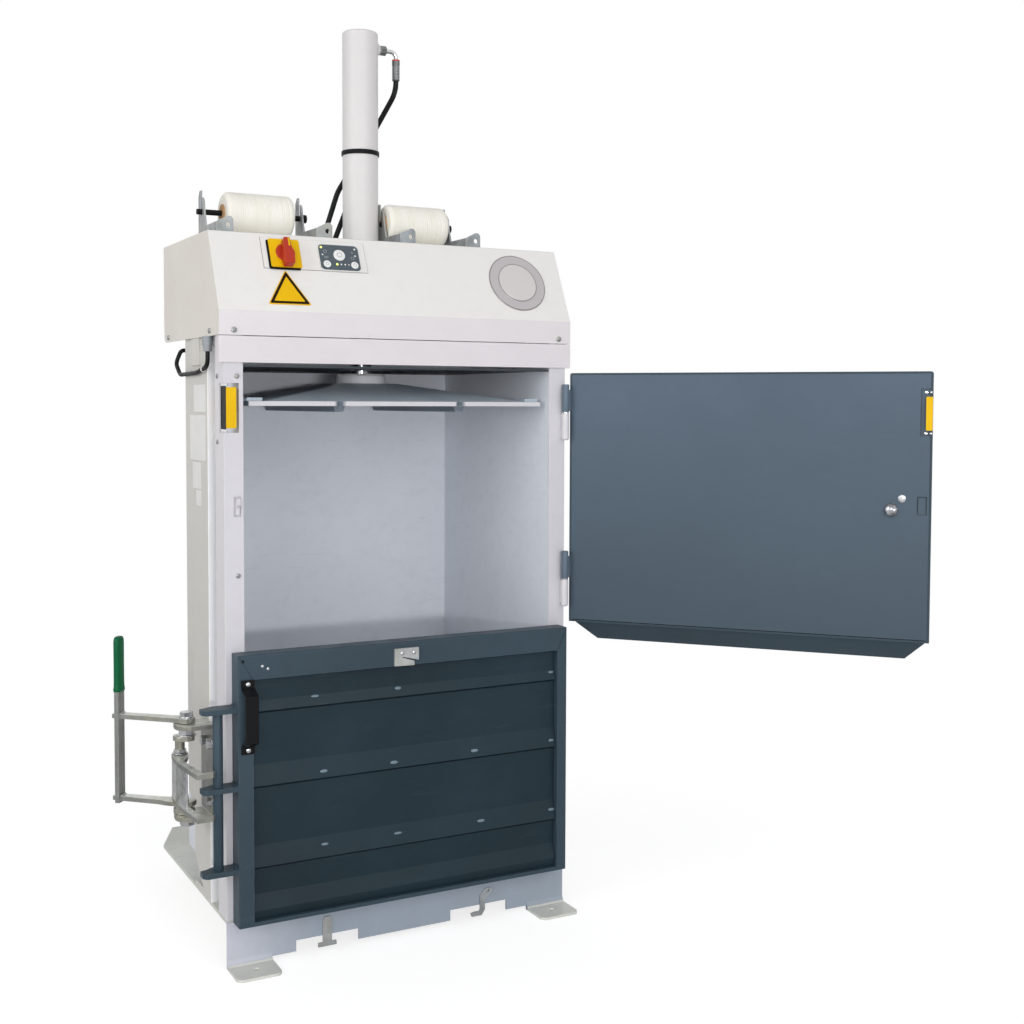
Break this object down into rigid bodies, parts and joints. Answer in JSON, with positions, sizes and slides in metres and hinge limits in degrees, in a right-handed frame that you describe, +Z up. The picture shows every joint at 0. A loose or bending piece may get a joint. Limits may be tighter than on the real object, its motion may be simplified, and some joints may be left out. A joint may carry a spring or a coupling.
{
  "type": "vertical recycling baler",
  "caption": "Upright press for baling cardboard, with a ram over an open front chamber, a swung-out loading door and a clamped lower door.",
  "frame": {"origin": "on the floor, midway between the two front anchor holes", "axes": "+X to the machine's right seen from the front, +Y to the back, +Z up"},
  "size_m": [1.4915, 1.2313, 1.967],
  "materials": {
    "white": "satin",
    "column_grey": "satin",
    "slate": "satin",
    "slate_light": "satin",
    "chamber": "matte",
    "platen_grey": "worn",
    "galvanised": "galvanised",
    "steel": "ground",
    "chrome": "polished",
    "yellow": "gloss",
    "red": "gloss",
    "grey_plastic": "matte",
    "black_plastic": "matte",
    "green_grip": "matte",
    "hose": "matte",
    "silver": "brushed",
    "strap": "woven",
    "card": "matte",
    "nylon": "matte"
  },
  "bodies": {
    "frame": {"base_plate": "white", "front_skirt": "column_grey", "rear_skirt": "white", "strap_hooks": "galvanised", "column_left": "column_grey", "column_right": "column_grey", "chamber_sides": "chamber", "chamber_back": "chamber", "chamber_ceiling": "chamber", "side_posts": "white", "crosshead_beam": "white", "hood": "white", "fascia": "white", "control_cover": "white", "main_switch_plate": "yellow", "warning_plate": "yellow", "control_panel": "grey_plastic", "badge_disc": "silver", "frame_screws": "galvanised", "cylinder_barrel": "white", "cylinder_band": "black_plastic", "port_fitting": "galvanised", "hydraulic_hoses": "hose", "strap_brackets": "galvanised", "strap_axles": "steel", "interlock_switch": "yellow", "door_catch": "galvanised", "hinge_knuckles": "column_grey", "hinge_pins": "steel", "lock_supports": "galvanised", "lock_bolts": "galvanised", "conduit_loop": "hose", "conduit_fittings": "grey_plastic"},
    "ram": {"piston_rod": "chrome", "platen": "platen_grey", "platen_pyramid": "platen_grey", "guide_pads": "nylon"},
    "loading_door": {"loading_hinge_leaves": "slate", "loading_door_pan": "slate", "loading_door_liner": "slate_light", "switch_key": "yellow", "door_screws": "galvanised"},
    "latch": {"latch_spindle": "galvanised", "latch_handle": "black_plastic"},
    "lower_door": {"lower_door_frame": "slate", "lower_door_infill": "slate", "grab_handle": "black_plastic", "strap_plate": "galvanised", "lock_rod": "slate", "lower_hinge_leaves": "slate"},
    "lever": {"lever_crank": "galvanised", "lever_frame": "galvanised", "lever_grip": "green_grip", "lever_bolt": "galvanised"},
    "claw": {"claw": "galvanised"},
    "switch": {"switch_knob": "red"},
    "strap_left": {"strap_core_left": "card", "strap_roll_left": "strap"},
    "strap_right": {"strap_core_right": "card", "strap_roll_right": "strap"}
  },
  "joints": [
    {"name": "ram_slide", "type": "slide", "parent": "frame", "child": "ram", "axis": [0, 0, 1], "range_m": [-0.6, 0]},
    {"name": "loading_door_swing", "type": "hinge", "parent": "frame", "child": "loading_door", "pos_m": [0.384, 0.023, 0.9], "axis": [0, 0, 1], "range_deg": [-131.5, 10]},
    {"name": "latch_turn", "type": "hinge", "parent": "loading_door", "child": "latch", "pos_m": [0.84916, -0.50277, 0.921], "axis": [-0.749, -0.6626, 0], "range_deg": [-90, 0]},
    {"name": "lower_door_swing", "type": "hinge", "parent": "frame", "child": "lower_door", "pos_m": [0.382, 0.026, 0.385], "axis": [0, 0, 1], "range_deg": [0, 120]},
    {"name": "lever_swing", "type": "hinge", "parent": "frame", "child": "lever", "pos_m": [-0.438, 0.155, 0.38], "axis": [0, 0, 1], "range_deg": [-47.8, 25]},
    {"name": "claw_swing", "type": "hinge", "parent": "lever", "child": "claw", "pos_m": [-0.44994, 0.16231, 0.37], "axis": [0, 0, 1], "range_deg": [-28.5, 54]},
    {"name": "main_switch_turn", "type": "hinge", "parent": "frame", "child": "switch", "pos_m": [-0.247, 0.08695, 1.441], "axis": [0, -0.9063, 0.4226], "range_deg": [-90, 0]},
    {"name": "strap_spin_left", "type": "hinge", "parent": "frame", "child": "strap_left", "pos_m": [-0.247, 0.272, 1.542], "axis": [1, 0, 0], "continuous": true},
    {"name": "strap_spin_right", "type": "hinge", "parent": "frame", "child": "strap_right", "pos_m": [0.123, 0.272, 1.542], "axis": [1, 0, 0], "continuous": true}
  ],
  "couplings": [
    {"joint": "claw_swing", "follows": "lever_swing", "ratio": -1.1234}
  ]
}
